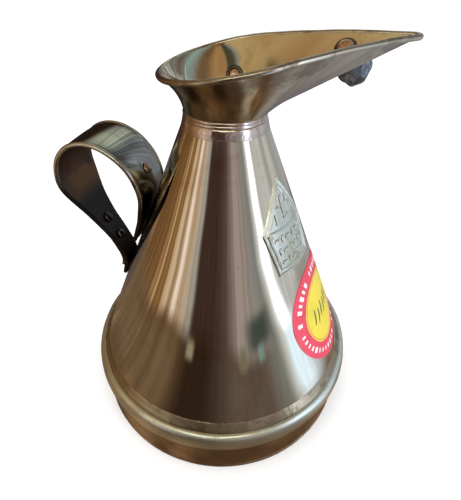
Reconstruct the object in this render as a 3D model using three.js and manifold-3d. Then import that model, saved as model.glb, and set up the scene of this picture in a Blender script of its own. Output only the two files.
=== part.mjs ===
// Conical liquid measure in sheet brass, with a beaked funnel mouth and a riveted strap handle.
// Millimetres, +Z up. The beak points along +X and the handle roughly along -X.
// The cone's axis is the Z axis of the pieces; the finished group is moved at the end so that
// the middle of its footprint's bounding box is the origin.

import * as THREE from "three";
import { mergeVertices } from "three/addons/utils/BufferGeometryUtils.js";
import Module from "manifold-3d";

const wasm = await Module();
wasm.setup();

// ---- driving dimensions (mm) ---------------------------------------------------------------

const gap = 0.3;                  // clearance where two pieces meet (solder film)
const roundSteps = 72;            // facets round the big turned pieces

const hoopRadius = 63;            // widest radius, over the base hoop
const hoopTop = 27.5;
const hoopBottom = 21.4;
const footRadius = 61.2;
const footFlange = 6;             // width of the foot's turned-in flat edge

const coneSheet = 1.0;
const coneSlope = 0.415;          // fall of radius per mm of height
const coneTopZ = 132.6;
const coneTopRadius = 14.9;
const coneBottomZ = 27.9;

const neckZ = 136.6;              // where the funnel starts to flare
const neckRadius = 14.2;
const collarRadius = 15.1;
const collarHeight = 3.4;
const collarZ = 134.6;

const funnelSheet = 0.9;
const mouthRadius = 25;           // round back of the mouth
const mouthShift = 3.6;           // its centre, ahead of the cone's axis
const beakReach = 58.6;           // beak's tip, from the cone's axis
const beakRound = 2.2;            // rounding of the tip
const rimHeight = 152.4;          // over the cone's axis
const rimSlope = 0.209;
const rimDroop = 0.00152;         // levels the beak out towards its tip
const rimWireRadius = 0.9;

const handleAngle = THREE.MathUtils.degToRad(166);
const strapThickness = 1.6;
const strapWideWidth = 24.5;      // over the curl, edge beads included
const strapLowWidth = 12.5;       // at the lower end
const strapSwell = 4.5;           // extra width on the outer bend
const strapTopEndWidth = 15;      // at the upper end
const beadRadius = 1.1;           // round bead along each long edge
const rivetShank = 1.5;
const rivetHead = 2.3;
const rivetDome = 1.3;

const plateAngle = THREE.MathUtils.degToRad(-35);
const plateZ = 101;
const labelAngle = THREE.MathUtils.degToRad(-20);
const labelZ = 57;
const labelRadius = 24.5;
const labelInnerRadius = 16.5;

// ---- colours -------------------------------------------------------------------------------

const brass = { color: 0x9c7a45, roughness: 0.2, metalness: 1 };
const paleBrass = { color: 0xb5a66f, roughness: 0.3, metalness: 1 };
const darkBrass = { color: 0x6b5434, roughness: 0.22, metalness: 1 };
const solder = { color: 0x8f6a4c, roughness: 0.5, metalness: 1 };
const lead = { color: 0x70777f, roughness: 0.65, metalness: 1 };
const copper = { color: 0xa2693f, roughness: 0.4, metalness: 1 };
const redPaper = { color: 0xd2425a, roughness: 0.7, metalness: 0 };
const yellowPaper = { color: 0xe0c52c, roughness: 0.7, metalness: 0 };

const pot = new THREE.Group();

function add(name, finish, geometry) {
  const mesh = new THREE.Mesh(faceOut(geometry), new THREE.MeshStandardMaterial(finish));
  mesh.name = name;
  pot.add(mesh);
}

// ---- mesh helpers --------------------------------------------------------------------------

// Positions only, with shared vertices merged.
function bare(geometry) {
  const copy = geometry.clone();
  for (const name of Object.keys(copy.attributes)) {
    if (name !== "position") copy.deleteAttribute(name);
  }
  return mergeVertices(copy, 1e-4);
}

function signedVolume(geometry) {
  const p = geometry.attributes.position;
  const index = geometry.index.array;
  const [a, b, c] = [new THREE.Vector3(), new THREE.Vector3(), new THREE.Vector3()];
  let total = 0;
  for (let i = 0; i < index.length; i += 3) {
    a.fromBufferAttribute(p, index[i]);
    b.fromBufferAttribute(p, index[i + 1]);
    c.fromBufferAttribute(p, index[i + 2]);
    total += a.dot(b.cross(c)) / 6;
  }
  return total;
}

// The same closed mesh with its faces pointing outwards.
function faceOut(geometry) {
  const solid = bare(geometry);
  if (signedVolume(solid) < 0) {
    const index = solid.index.array;
    for (let i = 0; i < index.length; i += 3) {
      [index[i + 1], index[i + 2]] = [index[i + 2], index[i + 1]];
    }
  }
  solid.computeVertexNormals();
  return solid;
}

function toManifold(geometry) {
  const solid = faceOut(geometry);
  return new wasm.Manifold(new wasm.Mesh({
    numProp: 3,
    vertProperties: new Float32Array(solid.attributes.position.array),
    triVerts: new Uint32Array(solid.index.array),
  }));
}

function fromManifold(manifold) {
  const mesh = manifold.getMesh();
  const geometry = new THREE.BufferGeometry();
  geometry.setAttribute("position", new THREE.BufferAttribute(new Float32Array(mesh.vertProperties), 3));
  geometry.setIndex(Array.from(mesh.triVerts));
  return geometry;
}

function cut(geometry, ...tools) {
  let solid = toManifold(geometry);
  for (const tool of tools) solid = solid.subtract(toManifold(tool));
  return fromManifold(solid);
}

function join(first, ...others) {
  let solid = toManifold(first);
  for (const other of others) solid = solid.add(toManifold(other));
  return fromManifold(solid);
}

// A ring or a disc turned about Z from a closed outline of [radius, height] points.
function turned(outline, steps = roundSteps) {
  const points = outline.map(([r, z]) => new THREE.Vector2(r, z));
  if (outline[0][0] > 0) points.push(points[0].clone());
  return new THREE.LatheGeometry(points, steps).rotateX(Math.PI / 2);
}

// A closed skin over rows of points: each row is a closed loop, and the ends are capped by fans,
// or the last row joins the first when the skin is a ring.
function skin(rows, isRing = false) {
  const n = rows[0].length;
  const positions = rows.flat().flatMap((p) => [p.x, p.y, p.z]);
  const index = [];
  const last = isRing ? rows.length : rows.length - 1;
  for (let i = 0; i < last; i++) {
    const next = (i + 1) % rows.length;
    for (let j = 0; j < n; j++) {
      const k = (j + 1) % n;
      index.push(i * n + j, next * n + j, next * n + k, i * n + j, next * n + k, i * n + k);
    }
  }
  if (!isRing) {
    for (const [row, order] of [[0, 1], [rows.length - 1, -1]]) {
      const middle = new THREE.Vector3();
      for (const p of rows[row]) middle.addScaledVector(p, 1 / n);
      const centre = positions.length / 3;
      positions.push(middle.x, middle.y, middle.z);
      for (let j = 0; j < n; j++) {
        const pair = [row * n + j, row * n + ((j + 1) % n)];
        if (order < 0) pair.reverse();
        index.push(centre, ...pair);
      }
    }
  }
  const geometry = new THREE.BufferGeometry();
  geometry.setAttribute("position", new THREE.Float32BufferAttribute(positions, 3));
  geometry.setIndex(index);
  return geometry;
}

// A shape made along +Z, moved so that its origin is at a point and its +Z along a direction.
function placed(geometry, point, direction) {
  const turn = new THREE.Quaternion().setFromUnitVectors(new THREE.Vector3(0, 0, 1), direction);
  return geometry.clone().applyQuaternion(turn).translate(point.x, point.y, point.z);
}

function rod(radius, fromZ, toZ, steps = 20) {
  return turned([[0, fromZ], [radius, fromZ], [radius, toZ], [0, toZ]], steps);
}

// A domed head on +Z, its flat side at height z and its dome away from zero.
function dome(radius, height, z, side = 1) {
  const outline = [[0, z], [radius, z]];
  for (const step of [0.35, 0.7]) {
    const angle = step * Math.PI / 2;
    outline.push([radius * Math.cos(angle), z + side * height * Math.sin(angle)]);
  }
  outline.push([0, z + side * height]);
  return turned(outline, 20);
}

// ---- base ----------------------------------------------------------------------------------

function coneRadius(z) {
  return coneTopRadius + coneSlope * (coneTopZ - z);
}

// Skirt that the measure stands on: a tapered band with a flat turned-in edge and a thin
// outer lip round the floor.
function footRing() {
  const sheet = 1.2;
  const top = hoopBottom - gap;
  const topRadius = footRadius - 0.5;
  const lip = 0.5;
  return turned([
    [footRadius - footFlange, 0],
    [footRadius, 0],
    [footRadius + lip, 0.5],
    [footRadius + lip, 1.3],
    [footRadius, 1.9],
    [topRadius, top],
    [topRadius - sheet, top],
    [footRadius - sheet, sheet],
    [footRadius - footFlange, sheet],
  ]);
}

// Stout half-round hoop that covers the joint of cone, bottom and foot.
function baseHoop() {
  const inner = hoopRadius - 4;
  const soft = 1.4;
  const outline = [[inner, hoopBottom], [inner, hoopTop]];
  for (const step of [0, 0.5, 1]) {
    const angle = (1 - step) * Math.PI / 2;
    outline.push([hoopRadius - soft + soft * Math.cos(angle), hoopTop - soft + soft * Math.sin(angle)]);
  }
  for (const step of [0, 0.5, 1]) {
    const angle = -step * Math.PI / 2;
    outline.push([hoopRadius - soft + soft * Math.cos(angle), hoopBottom + soft + soft * Math.sin(angle)]);
  }
  return turned(outline);
}

// Flat bottom of the liquid space, with an upturned edge inside the hoop.
function bottomPan() {
  const outer = hoopRadius - 4 - gap;
  const sheet = 1.2;
  const floor = 20.4;
  const top = coneBottomZ - gap;
  return turned([
    [0, floor],
    [outer - 2.6, floor],
    [outer - 2.2, hoopBottom],
    [outer, hoopBottom + 1.2],
    [outer, top],
    [outer - sheet, top],
    [outer - sheet, floor + sheet + 0.8],
    [0, floor + sheet],
  ]);
}

// Sloping braze between the cone's foot and the hoop's top.
function baseSolder() {
  const low = hoopTop + gap;
  const high = 31.6;
  return turned([
    [coneRadius(low) + gap, low],
    [59.6, low],
    [58.9, low + 1.6],
    [coneRadius(high) + gap + 0.4, high],
    [coneRadius(high) + gap, high],
  ]);
}

// ---- cone, neck and funnel -----------------------------------------------------------------

function coneBody() {
  return turned([
    [coneRadius(coneBottomZ) - coneSheet, coneBottomZ],
    [coneRadius(coneBottomZ), coneBottomZ],
    [coneTopRadius, coneTopZ],
    [coneTopRadius - coneSheet, coneTopZ],
  ]);
}

// Half-round ring between the cone's top edge and the funnel's foot.
function neckCollar() {
  const half = collarHeight / 2;
  const inner = neckRadius - funnelSheet;
  const outline = [[inner, collarZ + half], [inner, collarZ - half]];
  for (const step of [-0.8, -0.4, 0, 0.4, 0.8]) {
    const angle = step * Math.PI / 2;
    outline.push([inner + (collarRadius - inner) * Math.cos(angle), collarZ + half * Math.sin(angle)]);
  }
  return turned(outline);
}

// Rough fillet of solder under the collar.
function neckSolder() {
  const top = collarZ - collarHeight / 2 - gap;
  const low = top - 3.6;
  return turned([
    [coneRadius(top) + gap, top],
    [coneRadius(low) + gap, low],
    [coneRadius(low) + gap + 0.3, low],
    [coneRadius(top) + gap + 0.8, top - 1.2],
    [coneRadius(top) + gap + 0.5, top],
  ]);
}

// Teardrop plan of the mouth: a round back, two straight sides and a small round tip.
const mouthPlan = new THREE.Path();
{
  const tipCentre = beakReach - beakRound;
  const tangent = Math.acos((mouthRadius - beakRound) / (tipCentre - mouthShift));
  mouthPlan.absarc(mouthShift, 0, mouthRadius, tangent, 2 * Math.PI - tangent, false);
  mouthPlan.absarc(tipCentre, 0, beakRound, -tangent, tangent, false);
  mouthPlan.closePath();
}
const mouthCurves = mouthPlan.curves;

// Points round the mouth: evenly round the back, along each side and round the tip.
function mouthPoints(backSteps, sideSteps, tipSteps) {
  const [back, side, tip, closing] = mouthCurves;
  const points = [];
  const steps = [[back, backSteps], [side, sideSteps], [tip, tipSteps], [closing, sideSteps]];
  for (const [curve, count] of steps) {
    for (let i = 0; i < count; i++) points.push(curve.getPoint(i / count));
  }
  return points;
}

function rimZ(x) {
  return rimHeight + rimSlope * x - rimDroop * Math.max(x, 0) ** 2;
}

// Outer surface of the funnel: from the round neck (height = 0) to a point of the mouth
// (height = 1). The back flares like a trumpet and the beak's underside is straight.
function funnelPoint(mouth, height) {
  const angle = Math.atan2(mouth.y, mouth.x);
  const reach = Math.hypot(mouth.x, mouth.y);
  const trumpet = 0.65 * THREE.MathUtils.smoothstep(Math.abs(angle), 0.4, 2.4);
  const spread = (1 - trumpet) * height + trumpet * height ** 2.6;
  const radius = neckRadius + (reach - neckRadius) * spread;
  const z = neckZ + (rimZ(mouth.x) - neckZ) * height;
  return new THREE.Vector3(radius * Math.cos(angle), radius * Math.sin(angle), z);
}

// The rows of points of the outer surface and, inside it, those of the inner surface.
function funnelRows() {
  const mouth = mouthPoints(36, 12, 4);
  const top = 1 - (rimWireRadius + gap) / (rimHeight - neckZ);
  const heights = [0, 0.12, 0.25, 0.4, 0.55, 0.7, 0.82, 0.91, 1].map((h) => h * top);
  const n = mouth.length;
  const grid = heights.map((h) => mouth.map((m) => funnelPoint(m, h)));
  const inner = grid.map((row, i) => row.map((point, j) => {
    const along = row[(j + 1) % n].clone().sub(row[(j + n - 1) % n]);
    const above = grid[Math.min(i + 1, grid.length - 1)][j];
    const below = grid[Math.max(i - 1, 0)][j];
    const normal = along.cross(above.clone().sub(below)).normalize();
    return point.clone().addScaledVector(normal, -funnelSheet);
  }));
  return [...grid, ...inner.reverse()];
}

function rimWire() {
  const path = mouthPoints(40, 10, 5).map((m) => new THREE.Vector3(m.x, m.y, rimZ(m.x)));
  const n = path.length;
  const rows = path.map((point, i) => {
    const along = path[(i + 1) % n].clone().sub(path[(i + n - 1) % n]).normalize();
    const side = along.clone().cross(new THREE.Vector3(0, 0, 1)).normalize();
    const up = side.clone().cross(along);
    return circleRow(point, side, up, rimWireRadius, 8);
  });
  return skin(rows, true);
}

function circleRow(centre, side, up, radius, steps) {
  const row = [];
  for (let i = 0; i < steps; i++) {
    const angle = 2 * Math.PI * i / steps;
    const point = centre.clone();
    point.addScaledVector(side, radius * Math.cos(angle));
    point.addScaledVector(up, radius * Math.sin(angle));
    row.push(point);
  }
  return row;
}

// ---- seal and gauge stud in the funnel's wall ----------------------------------------------

// A spot on the funnel's outer surface, given by a fraction along the mouth's straight side
// or round its back, with its outward direction.
function funnelSpot(curve, fraction, height) {
  const step = 0.01;
  const at = (f, h) => funnelPoint(curve.getPoint(f), h);
  const point = at(fraction, height);
  const along = at(fraction + step, height).sub(point);
  const above = at(fraction, height + step).sub(point);
  const out = along.cross(above).normalize();
  return { point, out };
}

const sealSpot = funnelSpot(mouthCurves[3], 0.25, 0.76);
const studSpot = funnelSpot(mouthCurves[0], 0.1, 0.38);
const sealBore = 2.3;
const studBore = 1.5;

// Lead plug: a disc inside the beak, a core through the wall and a hammered lump outside.
function leadSeal() {
  const lump = new THREE.IcosahedronGeometry(1, 1).scale(6.2, 6.8, 6.8).translate(2.5, 0, 7.1);
  const parts = [rod(sealBore - gap, -3, 4), rod(2.65, -2.9, -funnelSheet - 1), lump];
  return join(...parts.map((part) => placed(part, sealSpot.point, sealSpot.out)));
}

function sealEyelet() {
  const ring = turned([[2.95, -2.4], [3.75, -2.4], [3.75, -1.25], [2.95, -1.25]], 28);
  return placed(ring, sealSpot.point, sealSpot.out);
}

function gaugeStud() {
  const shank = rod(studBore - gap, -1.8, 0.8);
  const inside = dome(1.75, 1.1, -1.25, -1);
  const outside = dome(2.0, 0.9, gap);
  return join(...[shank, inside, outside].map((part) => placed(part, studSpot.point, studSpot.out)));
}

function studWasher() {
  const ring = turned([[2.05, -2.3], [2.75, -2.3], [2.75, -1.4], [2.05, -1.4]], 24);
  return placed(ring, studSpot.point, studSpot.out);
}

function funnelSpout() {
  const holes = [
    placed(rod(sealBore, -4, 4), sealSpot.point, sealSpot.out),
    placed(rod(studBore, -3, 3), studSpot.point, studSpot.out),
  ];
  return cut(skin(funnelRows(), true), ...holes);
}

// ---- handle --------------------------------------------------------------------------------

// Middle line of the strap as [distance from the cone's axis, height], from its lower end on
// the cone, out round the curl and back down to its upper end on the cone.
const strapLine = new THREE.CatmullRomCurve3([
  [48.3, 55],
  [46.6, 62.5],
  [49.7, 72.2],
  [55.9, 83.2],
  [61.7, 94.5],
  [65, 105.5],
  [63, 115.2],
  [56.1, 121.3],
  [47.6, 122.2],
  [39.6, 118.6],
  [33.6, 111.5],
  [31.2, 102],
  [33.4, 92],
  [37.1, 82.8],
  [39.3, 77.6],
].map(([r, z]) => new THREE.Vector3(-r, 0, z)), false, "centripetal");

// Width over the edge beads, as a function of the fraction along the strap.
function strapWidth(t) {
  const grown = THREE.MathUtils.smoothstep(t, 0.12, 0.5);
  const trimmed = THREE.MathUtils.smoothstep(t, 0.82, 1);
  const wide = strapLowWidth + (strapWideWidth - strapLowWidth) * grown;
  const thumb = strapSwell * Math.exp(-(((t - 0.38) / 0.08) ** 2));
  return wide + thumb - (strapWideWidth - strapTopEndWidth) * trimmed;
}

// Where the strap runs at a fraction of its length: point, direction and outer side.
function strapFrame(t) {
  const point = strapLine.getPointAt(t);
  const along = strapLine.getTangentAt(t);
  const outer = new THREE.Vector3(0, 1, 0).cross(along).negate();
  return { point, along, outer };
}

// Pieces of the handle are made in the plane y = 0 and turned to the handle's side.
function onHandle(geometry) {
  return geometry.clone().rotateZ(handleAngle - Math.PI);
}

// A flat strip along the strap between two fractions of its length.
function strip(from, to, steps, halfWidth, low, high) {
  const rows = [];
  for (let i = 0; i <= steps; i++) {
    const t = from + (to - from) * i / steps;
    const { point, outer } = strapFrame(t);
    const half = halfWidth(t);
    rows.push([[-1, low], [1, low], [1, high], [-1, high]].map(([side, level]) => {
      const corner = point.clone().addScaledVector(outer, level);
      corner.y += side * half;
      return corner;
    }));
  }
  return skin(rows);
}

const panelHalf = (t) => strapWidth(t) / 2 - 2 * beadRadius - gap;
const strapHalf = strapThickness / 2;
const stayThickness = 1.5;
const lowerRivets = [0.145, 0.215];
const upperRivet = 0.752;

function rivetHole(t) {
  const { point, outer } = strapFrame(t);
  return placed(rod(rivetShank + gap, -12, 5), point, outer);
}

function handleStrap() {
  const panel = strip(0, 1, 56, panelHalf, -strapHalf, strapHalf);
  return cut(panel, ...[...lowerRivets, upperRivet].map(rivetHole));
}

function handleBead(side) {
  const rows = [];
  const steps = 56;
  for (let i = 0; i <= steps; i++) {
    const { point, outer } = strapFrame(i / steps);
    point.y += side * (strapWidth(i / steps) / 2 - beadRadius);
    rows.push(circleRow(point, outer, new THREE.Vector3(0, 1, 0), beadRadius, 8));
  }
  return skin(rows);
}

// Stiffening strip under the strap's lower leg.
function lowerStay() {
  const low = strapHalf + gap;
  const plain = strip(0.02, 0.27, 14, () => 4.2, low, low + stayThickness);
  return cut(plain, ...lowerRivets.map(rivetHole));
}

// Stiffening strip inside the strap's upper leg.
function upperStay() {
  const low = strapHalf + gap;
  const plain = strip(0.7, 0.92, 12, () => 4.5, -low - stayThickness, -low);
  return cut(plain, rivetHole(upperRivet));
}

// A rivet with two heads, through the strap and a stay on one side of it (side 1 is outside).
function rivet(t, staySide) {
  const { point, outer } = strapFrame(t);
  const stayFace = strapHalf + gap + stayThickness + gap;
  const plainFace = strapHalf + gap;
  const shank = rod(rivetShank, -plainFace - 0.4, stayFace + 0.4);
  const parts = [
    shank,
    dome(rivetHead, rivetDome, -plainFace, -1),
    dome(rivetHead, rivetDome, stayFace),
  ];
  return join(...parts.map((part) => placed(part, point, outer.clone().multiplyScalar(staySide))));
}

// ---- plate and label on the cone -----------------------------------------------------------

// A thin patch on the cone between two outlines, each a function from an angle to [across, up].
// An inner outline that returns the centre makes a full disc.
function conePatch(angle, middleZ, outer, inner, rings, steps, lift, thickness) {
  const upPerSlant = 1 / Math.hypot(1, coneSlope);
  const at = ([across, up], level) => {
    const z = middleZ + up * upPerSlant;
    const r = coneRadius(z);
    const turn = angle + across / r;
    return new THREE.Vector3((r + level) * Math.cos(turn), (r + level) * Math.sin(turn), z);
  };
  const loop = (f, level) => {
    const row = [];
    for (let j = 0; j < steps; j++) {
      const a = 2 * Math.PI * j / steps;
      const [x0, y0] = inner(a);
      const [x1, y1] = outer(a);
      row.push(at([x0 + (x1 - x0) * f, y0 + (y1 - y0) * f], level));
    }
    return row;
  };
  const rows = [];
  for (let i = 0; i <= rings; i++) rows.push(loop(i / rings, lift));
  for (let i = rings; i >= 0; i--) rows.push(loop(i / rings, lift + thickness));
  return skin(rows, true);
}

// House-shaped outline, with a pointed top, shoulders at mid height and a slightly narrower
// foot, as the distance to the nearest of its edges at an angle.
const plateCorners = [[13.5, 0], [0, 20], [-13.5, 0], [-11.5, -18], [11.5, -18]];

function house(angle) {
  const [c, s] = [Math.cos(angle), Math.sin(angle)];
  let reach = Infinity;
  plateCorners.forEach(([x0, y0], i) => {
    const [x1, y1] = plateCorners[(i + 1) % plateCorners.length];
    const [nx, ny] = [y1 - y0, x0 - x1];
    const facing = nx * c + ny * s;
    if (facing > 0) reach = Math.min(reach, (nx * x0 + ny * y0) / facing);
  });
  return [reach * c, reach * s];
}

const circle = (radius) => (angle) => [radius * Math.cos(angle), radius * Math.sin(angle)];
const centre = circle(0.05);

function capacityPlate() {
  return conePatch(plateAngle, plateZ, house, centre, 4, 40, gap, 0.6);
}

function labelRing() {
  return conePatch(labelAngle, labelZ, circle(labelRadius), circle(labelInnerRadius), 3, 48, gap, 0.2);
}

function labelDisc() {
  return conePatch(labelAngle, labelZ, circle(labelInnerRadius - gap), centre, 4, 40, gap, 0.2);
}

// ---- assembly ------------------------------------------------------------------------------

add("foot_ring", darkBrass, footRing());
add("base_hoop", paleBrass, baseHoop());
add("bottom_pan", brass, bottomPan());
add("base_solder", solder, baseSolder());
add("cone_body", brass, coneBody());
add("neck_solder", solder, neckSolder());
add("neck_collar", solder, neckCollar());
add("funnel_spout", brass, funnelSpout());
add("rim_wire", paleBrass, rimWire());
add("lead_seal", lead, leadSeal());
add("seal_eyelet", copper, sealEyelet());
add("gauge_stud", copper, gaugeStud());
add("stud_washer", darkBrass, studWasher());
add("handle_strap", darkBrass, onHandle(handleStrap()));
add("handle_bead_near", paleBrass, onHandle(handleBead(1)));
add("handle_bead_far", paleBrass, onHandle(handleBead(-1)));
add("lower_stay", darkBrass, onHandle(lowerStay()));
add("upper_stay", darkBrass, onHandle(upperStay()));
lowerRivets.forEach((t, i) => add(`lower_rivet_${i + 1}`, brass, onHandle(rivet(t, 1))));
add("upper_rivet", brass, onHandle(rivet(upperRivet, -1)));
add("capacity_plate", paleBrass, capacityPlate());
add("label_ring", redPaper, labelRing());
add("label_disc", yellowPaper, labelDisc());

const footprint = new THREE.Box3().setFromObject(pot);
const middle = footprint.getCenter(new THREE.Vector3());
pot.position.set(-middle.x, -middle.y, 0);

export default pot;
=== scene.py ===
# %% [markdown]
# # A conical liquid measure in sheet brass
# A tinker makes this measure from a few sheets: a cone for the body, a skirt to stand on, a stout
# hoop where the two meet, a funnel mouth drawn out into a beak, and a strap handle. A lead seal, a
# stamped capacity mark and a round paper label finish it.
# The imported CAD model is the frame: it fixes every size. The looks are smooth surfaces laid where
# the frame's pieces lie, each worked out with numpy and given a procedural finish.

import math

import bmesh
import bpy
import numpy as np
from mathutils import Matrix, Vector


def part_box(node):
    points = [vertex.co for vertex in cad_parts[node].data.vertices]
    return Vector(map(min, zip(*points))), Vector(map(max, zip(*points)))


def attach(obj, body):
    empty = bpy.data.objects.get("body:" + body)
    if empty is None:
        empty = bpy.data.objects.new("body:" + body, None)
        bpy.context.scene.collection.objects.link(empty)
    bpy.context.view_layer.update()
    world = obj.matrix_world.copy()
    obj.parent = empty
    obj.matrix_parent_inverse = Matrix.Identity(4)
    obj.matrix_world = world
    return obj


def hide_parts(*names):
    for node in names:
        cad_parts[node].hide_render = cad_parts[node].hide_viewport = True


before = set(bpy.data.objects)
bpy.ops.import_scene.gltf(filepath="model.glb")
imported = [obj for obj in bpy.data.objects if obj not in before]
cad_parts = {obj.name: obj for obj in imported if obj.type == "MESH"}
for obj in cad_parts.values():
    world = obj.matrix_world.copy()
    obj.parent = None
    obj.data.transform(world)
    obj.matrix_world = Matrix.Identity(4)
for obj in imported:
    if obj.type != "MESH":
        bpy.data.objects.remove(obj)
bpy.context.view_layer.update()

cone_low, cone_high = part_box("cone_body")
AXIS = np.array([(cone_low.x + cone_high.x) / 2, (cone_low.y + cone_high.y) / 2, 0.0])

# %% [markdown]
# ## From a grid of points to a piece
# Every surface here is a grid of points, worked out in millimetres round the cone's own axis.
# A grid could be kept as a NURBS patch or made with Spin and Screw. A plain array is chosen, because
# one formula then gives the shape, its patterns' coordinates and its fine unevenness together.

# %% Grids, welding and finishing
MM = 0.001


def woven(points, wrap_rows=False, wrap_cols=False, uv=None):
    """Quads over a grid points[i, j]. A wrapped direction joins its last line to its first.
    uv[i, j] has one more line in each wrapped direction, so that a pattern doesn't fold back."""
    n, m = points.shape[:2]
    i = np.arange(n if wrap_rows else n - 1)[:, None]
    j = np.arange(m if wrap_cols else m - 1)[None, :]
    low, high = (i % n) * m, ((i + 1) % n) * m
    left, right = j % m, (j + 1) % m
    quads = np.stack([low + left, low + right, high + right, high + left], -1).reshape(-1, 4)
    if uv is None:
        u, v = np.arange(n + wrap_rows) / n, np.arange(m + wrap_cols) / m
        uv = np.stack(np.meshgrid(u, v, indexing="ij"), -1)
    corners = np.stack([uv[i, j], uv[i, j + 1], uv[i + 1, j + 1], uv[i + 1, j]], 2)
    return {"points": points.reshape(-1, 3), "quads": quads, "uv": corners.reshape(-1, 4, 2)}


def build(name, sheets, finish, stands_for=(), sharp=38):
    """One mesh from several grids: points joined where they meet, faces turned outwards, shading
    smooth except at edges sharper than so many degrees."""
    starts = np.cumsum([0] + [len(s["points"]) for s in sheets[:-1]])
    points = np.concatenate([s["points"] for s in sheets]) * MM + AXIS
    quads = np.concatenate([s["quads"] + start for s, start in zip(sheets, starts)])
    mesh = bpy.data.meshes.new(name)
    mesh.from_pydata(points.tolist(), [], quads.tolist())
    layer = mesh.uv_layers.new(name="pattern")
    layer.data.foreach_set("uv", np.concatenate([s["uv"] for s in sheets]).astype(np.float32).ravel())
    welded = bmesh.new()
    welded.from_mesh(mesh)
    bmesh.ops.remove_doubles(welded, verts=welded.verts, dist=2e-7)
    bmesh.ops.recalc_face_normals(welded, faces=welded.faces)
    welded.to_mesh(mesh)
    welded.free()
    mesh.polygons.foreach_set("use_smooth", np.ones(len(mesh.polygons), bool))
    mesh.set_sharp_from_angle(angle=math.radians(sharp))
    mesh.materials.append(finish)
    piece = bpy.data.objects.new(name, mesh)
    bpy.context.scene.collection.objects.link(piece)
    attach(piece, "root")
    if stands_for:
        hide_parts(*stands_for)
    print(f"{name}: {len(mesh.vertices)} points, {len(mesh.polygons)} faces")
    return piece


# %% [markdown]
# ## Shapes that a tinker would know
# Turned rings, wires bent along a line and sheets carried along a line make nearly the whole
# object. Hand work is never quite true, so a slow ripple can be added to any of them.

# %% Turned rings, rounded corners and ripples
SEAM = math.radians(166)          # where a sheet's two ends meet, behind the handle


def smooth(x, low, high):
    """0 below low, 1 above high, and 3t^2 - 2t^3 between."""
    t = np.clip((x - low) / (high - low), 0, 1)
    return t * t * (3 - 2 * t)


def ripple(points, length, seed, waves=14):
    """A smooth uneven field, about -1 to 1: the mean of sine waves in seeded directions."""
    rng = np.random.default_rng(seed)
    way = rng.normal(size=(waves, 3))
    way *= (2 * np.pi / length) * rng.uniform(0.6, 1.5, (waves, 1)) / np.linalg.norm(way, axis=1)[:, None]
    return np.sin(points @ way.T + rng.uniform(0, 2 * np.pi, waves)).sum(-1) / math.sqrt(waves)


def softened(outline, radius, steps=6):
    """A closed outline with each corner P replaced by the curve (1-t)^2 A + 2t(1-t) P + t^2 B,
    where A and B lie at most radius away along its two edges."""
    corner = np.asarray(outline, float)
    before, after = np.roll(corner, 1, 0) - corner, np.roll(corner, -1, 0) - corner
    reach = lambda d: np.minimum(radius, 0.45 * np.linalg.norm(d, axis=1))[:, None]
    start = corner + before / np.linalg.norm(before, axis=1)[:, None] * reach(before)
    end = corner + after / np.linalg.norm(after, axis=1)[:, None] * reach(after)
    t = np.linspace(0, 1, steps)[None, :, None]
    curve = (1 - t) ** 2 * start[:, None] + 2 * t * (1 - t) * corner[:, None] + t**2 * end[:, None]
    return curve.reshape(-1, 2)


def refined(outline, step, closed=True):
    """The same outline with extra points, so that no edge is longer than step."""
    points = np.asarray(outline, float)
    ends = np.roll(points, -1, 0) if closed else points[1:]
    cuts = lambda a, b: max(1, math.ceil(np.linalg.norm(b - a) / step))
    parts = [
        a + (b - a) * np.linspace(0, 1, cuts(a, b), endpoint=False)[:, None]
        for a, b in zip(points, ends)
    ]
    return np.concatenate(parts if closed else parts + [points[-1:]])


def turned(outline, steps=288, closed=True, uneven=None):
    """Outline points (r, z) carried round the axis: x = r cos a, y = r sin a. The pattern's
    coordinates are the way round and the way along the outline, in metres."""
    outline = np.asarray(outline, float)
    a = SEAM + np.linspace(0, 2 * np.pi, steps, endpoint=False)
    r = np.broadcast_to(outline[:, 0], (steps, len(outline)))
    z = np.broadcast_to(outline[:, 1], r.shape)
    way = np.stack([np.cos(a), np.sin(a)], -1)[:, None, :]
    points = np.concatenate([r[..., None] * way, z[..., None]], -1)
    if uneven is not None:
        points[..., :2] += uneven(points)[..., None] * way
    rim = np.concatenate([outline, outline[:1]]) if closed else outline
    along = np.concatenate([[0], np.cumsum(np.linalg.norm(np.diff(rim, axis=0), axis=1))])
    round_ = np.linspace(0, 2 * np.pi, steps + 1) * outline[:, 0].max()
    uv = np.stack(np.meshgrid(round_, along, indexing="ij"), -1) * MM
    return woven(points, wrap_rows=True, wrap_cols=closed, uv=uv)


# %% [markdown]
# ## Shader parts
# Three things happen to sheet brass in use: a cloth leaves fine parallel marks, air and hands stain
# it in soft patches, and knocks leave small pits. Each is one node group, built once and placed in
# every metal with its own numbers. Painted textures could do this too, but they stretch on odd shapes
# and don't follow when a part is resized.

# %% Small helpers for node trees
def place(tree, kind, sockets=None, **settings):
    """A node of one kind, with settings on the node, and numbers or links on its sockets."""
    made = tree.nodes.new("ShaderNode" + kind)
    for key, value in settings.items():
        setattr(made, key, value)
    for key, value in (sockets or {}).items():
        if isinstance(value, bpy.types.NodeSocket):
            tree.links.new(value, made.inputs[key])
        else:
            made.inputs[key].default_value = value
    return made


def group(name, inputs, outputs):
    """An empty node group with named inputs and outputs, and its two end nodes."""
    tree = bpy.data.node_groups.new(name, "ShaderNodeTree")
    for title, kind, value in inputs:
        made = tree.interface.new_socket(name=title, in_out="INPUT", socket_type="NodeSocket" + kind)
        if value is not None:
            made.default_value = value
    for title, kind in outputs:
        tree.interface.new_socket(name=title, in_out="OUTPUT", socket_type="NodeSocket" + kind)
    return tree, tree.nodes.new("NodeGroupInput").outputs, tree.nodes.new("NodeGroupOutput").inputs


def maths(tree, what, *values):
    """The result of one Math node."""
    return place(tree, "Math", dict(enumerate(values)), operation=what).outputs[0]


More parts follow.
